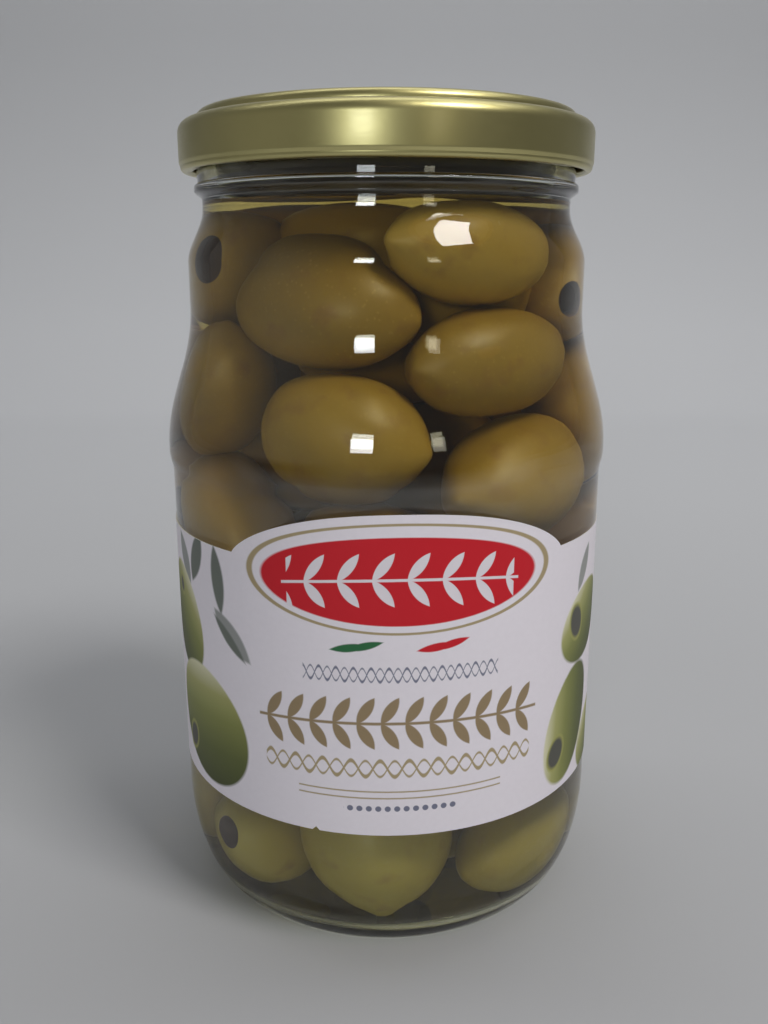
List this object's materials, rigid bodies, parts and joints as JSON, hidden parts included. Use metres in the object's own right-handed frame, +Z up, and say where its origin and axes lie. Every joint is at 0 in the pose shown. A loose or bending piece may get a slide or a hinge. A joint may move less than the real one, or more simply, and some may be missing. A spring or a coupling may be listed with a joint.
{
  "type": "jar of olives",
  "caption": "Twist-off glass jar filled with whole pitted green olives in brine, with a stepped metal lid and a plain die-cut paper label.",
  "frame": {"origin": "middle of the foot, on the surface that the jar stands on", "axes": "+Z up along the jar's axis; -Y towards the front of the label; +X to the label's right"},
  "size_m": [0.0878, 0.0878, 0.1546],
  "materials": {
    "clear_glass": "smooth clear container glass with slight moulding waves",
    "gold_lid": "satin olive-gold lacquered tinplate",
    "label_paper": "smooth coated white label paper with printed colour fields",
    "brine": "clear yellowish brine",
    "olive_skin": "smooth waxy olive skin with small freckles and a pit hole"
  },
  "bodies": {
    "root": {"jar": "clear_glass", "lid": "gold_lid", "label": "label_paper", "brine": "brine"}
  },
  "joints": []
}
